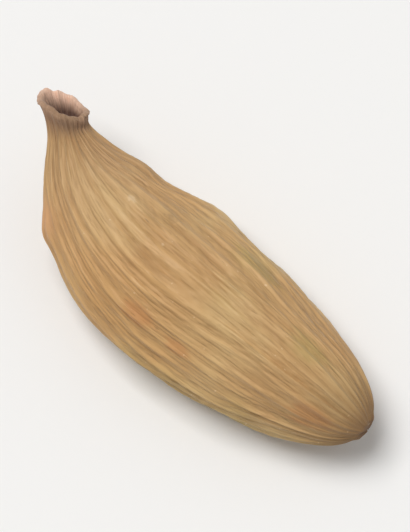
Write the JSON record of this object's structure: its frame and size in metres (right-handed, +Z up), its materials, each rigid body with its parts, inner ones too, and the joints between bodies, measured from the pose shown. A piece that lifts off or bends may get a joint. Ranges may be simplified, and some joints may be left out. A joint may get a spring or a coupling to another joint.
{
  "type": "green cardamom pod",
  "caption": "Dried green cardamom pod lying on its flattest side, a ribbed spindle with a bent neck, a small open stalk cup and a rounded base.",
  "frame": {"origin": "on the surface that the pod lies on, under the middle of its box", "axes": "+X runs the long way from the stalk cup to the rounded base, +Y is the straighter side, +Z is up"},
  "size_m": [0.0174, 0.0066, 0.0054],
  "materials": {
    "husk": "matte"
  },
  "bodies": {
    "root": {"cardamom_pod": "husk"}
  },
  "joints": []
}
